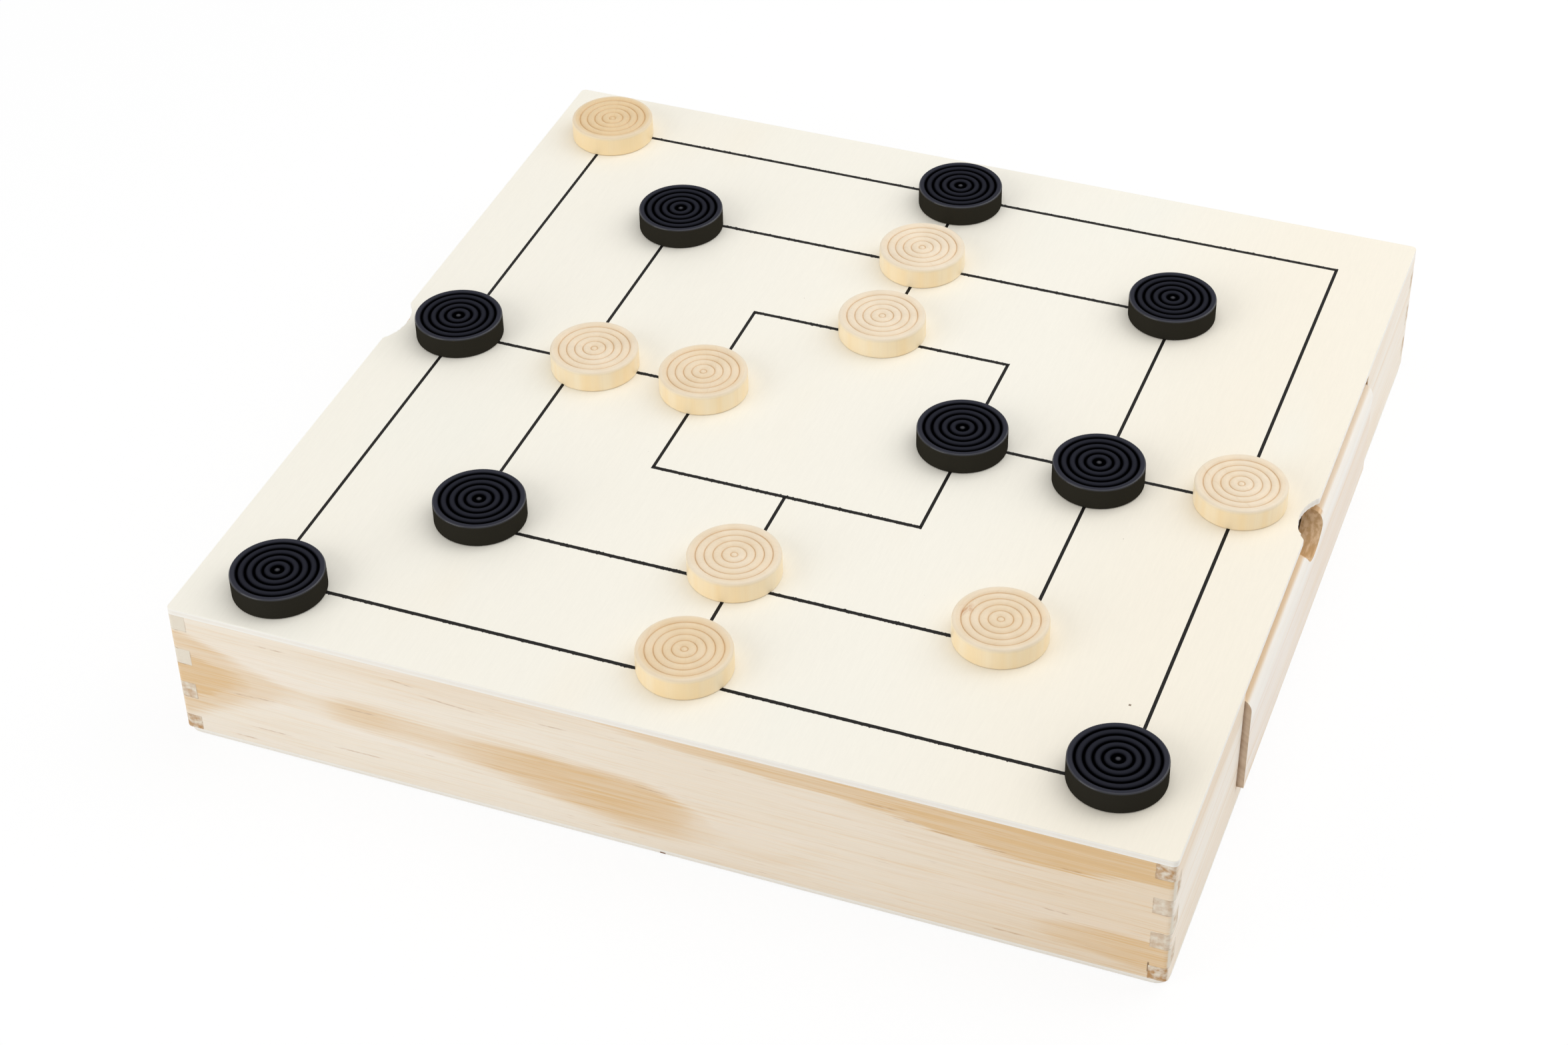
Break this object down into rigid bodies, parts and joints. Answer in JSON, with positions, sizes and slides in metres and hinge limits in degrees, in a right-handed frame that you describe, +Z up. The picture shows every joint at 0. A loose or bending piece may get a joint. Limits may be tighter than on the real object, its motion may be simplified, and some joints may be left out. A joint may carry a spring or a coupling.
{
  "type": "three-in-one game set",
  "caption": "Flat wooden game box with a morris board on top, a chequered board beneath and two pull-out drawers of discs and chess figures.",
  "frame": {"origin": "centre of the box's underside, on the surface that it stands on", "axes": "+X towards the right-hand drawer, +Y away from the player in the picture, +Z up out of the morris board"},
  "size_m": [0.294, 0.29, 0.0536],
  "materials": {
    "flamed_pine": "planed and sanded pine, thin clear coat",
    "pale_pine": "planed and sanded pale pine, thin clear coat",
    "inner_pine": "sawn pine, raw",
    "plywood": "thin pale plywood, printed, matt clear coat",
    "drawer_plywood": "thin plywood, raw",
    "printed_ink": "black printing ink on wood",
    "varnished_maple": "turned pale wood, clear varnish",
    "black_paint": "turned wood, satin black paint"
  },
  "bodies": {
    "box": {"front_wall": "flamed_pine", "back_wall": "flamed_pine", "left_wall": "pale_pine", "right_wall": "pale_pine", "top_board": "plywood", "bottom_board": "plywood", "morris_lines": "printed_ink", "chequer_squares": "printed_ink", "front_runner": "inner_pine", "back_runner": "inner_pine", "front_guide": "inner_pine", "back_guide": "inner_pine", "centre_stop": "inner_pine"},
    "right_drawer": {"right_drawer_front": "pale_pine", "right_drawer_near_side": "pale_pine", "right_drawer_far_side": "pale_pine", "right_drawer_back": "pale_pine", "right_drawer_floor": "drawer_plywood", "spare_light_discs": "varnished_maple", "light_king": "varnished_maple", "light_queen": "varnished_maple", "light_bishops": "varnished_maple", "light_knights": "varnished_maple", "light_rooks": "varnished_maple", "light_pawns": "varnished_maple"},
    "left_drawer": {"left_drawer_front": "pale_pine", "left_drawer_near_side": "pale_pine", "left_drawer_far_side": "pale_pine", "left_drawer_back": "pale_pine", "left_drawer_floor": "drawer_plywood", "spare_black_discs": "black_paint", "black_king": "black_paint", "black_queen": "black_paint", "black_bishops": "black_paint", "black_knights": "black_paint", "black_rooks": "black_paint", "black_pawns": "black_paint"},
    "light_disc_1": {"light_disc_1": "varnished_maple"},
    "light_disc_2": {"light_disc_2": "varnished_maple"},
    "light_disc_3": {"light_disc_3": "varnished_maple"},
    "light_disc_4": {"light_disc_4": "varnished_maple"},
    "light_disc_5": {"light_disc_5": "varnished_maple"},
    "light_disc_6": {"light_disc_6": "varnished_maple"},
    "light_disc_7": {"light_disc_7": "varnished_maple"},
    "light_disc_8": {"light_disc_8": "varnished_maple"},
    "light_disc_9": {"light_disc_9": "varnished_maple"},
    "black_disc_1": {"black_disc_1": "black_paint"},
    "black_disc_2": {"black_disc_2": "black_paint"},
    "black_disc_3": {"black_disc_3": "black_paint"},
    "black_disc_4": {"black_disc_4": "black_paint"},
    "black_disc_5": {"black_disc_5": "black_paint"},
    "black_disc_6": {"black_disc_6": "black_paint"},
    "black_disc_7": {"black_disc_7": "black_paint"},
    "black_disc_8": {"black_disc_8": "black_paint"},
    "black_disc_9": {"black_disc_9": "black_paint"}
  },
  "joints": [
    {"name": "right_drawer_slide", "type": "slide", "parent": "box", "child": "right_drawer", "axis": [1, 0, 0], "range_m": [0, 0.11]},
    {"name": "left_drawer_slide", "type": "slide", "parent": "box", "child": "left_drawer", "axis": [-1, 0, 0], "range_m": [0, 0.11]},
    {"name": "light_disc_1_lift", "type": "slide", "parent": "box", "child": "light_disc_1", "axis": [0, 0, 1], "range_m": [0, 0.04]},
    {"name": "light_disc_2_lift", "type": "slide", "parent": "box", "child": "light_disc_2", "axis": [0, 0, 1], "range_m": [0, 0.04]},
    {"name": "light_disc_3_lift", "type": "slide", "parent": "box", "child": "light_disc_3", "axis": [0, 0, 1], "range_m": [0, 0.04]},
    {"name": "light_disc_4_lift", "type": "slide", "parent": "box", "child": "light_disc_4", "axis": [0, 0, 1], "range_m": [0, 0.04]},
    {"name": "light_disc_5_lift", "type": "slide", "parent": "box", "child": "light_disc_5", "axis": [0, 0, 1], "range_m": [0, 0.04]},
    {"name": "light_disc_6_lift", "type": "slide", "parent": "box", "child": "light_disc_6", "axis": [0, 0, 1], "range_m": [0, 0.04]},
    {"name": "light_disc_7_lift", "type": "slide", "parent": "box", "child": "light_disc_7", "axis": [0, 0, 1], "range_m": [0, 0.04]},
    {"name": "light_disc_8_lift", "type": "slide", "parent": "box", "child": "light_disc_8", "axis": [0, 0, 1], "range_m": [0, 0.04]},
    {"name": "light_disc_9_lift", "type": "slide", "parent": "box", "child": "light_disc_9", "axis": [0, 0, 1], "range_m": [0, 0.04]},
    {"name": "black_disc_1_lift", "type": "slide", "parent": "box", "child": "black_disc_1", "axis": [0, 0, 1], "range_m": [0, 0.04]},
    {"name": "black_disc_2_lift", "type": "slide", "parent": "box", "child": "black_disc_2", "axis": [0, 0, 1], "range_m": [0, 0.04]},
    {"name": "black_disc_3_lift", "type": "slide", "parent": "box", "child": "black_disc_3", "axis": [0, 0, 1], "range_m": [0, 0.04]},
    {"name": "black_disc_4_lift", "type": "slide", "parent": "box", "child": "black_disc_4", "axis": [0, 0, 1], "range_m": [0, 0.04]},
    {"name": "black_disc_5_lift", "type": "slide", "parent": "box", "child": "black_disc_5", "axis": [0, 0, 1], "range_m": [0, 0.04]},
    {"name": "black_disc_6_lift", "type": "slide", "parent": "box", "child": "black_disc_6", "axis": [0, 0, 1], "range_m": [0, 0.04]},
    {"name": "black_disc_7_lift", "type": "slide", "parent": "box", "child": "black_disc_7", "axis": [0, 0, 1], "range_m": [0, 0.04]},
    {"name": "black_disc_8_lift", "type": "slide", "parent": "box", "child": "black_disc_8", "axis": [0, 0, 1], "range_m": [0, 0.04]},
    {"name": "black_disc_9_lift", "type": "slide", "parent": "box", "child": "black_disc_9", "axis": [0, 0, 1], "range_m": [0, 0.04]}
  ]
}
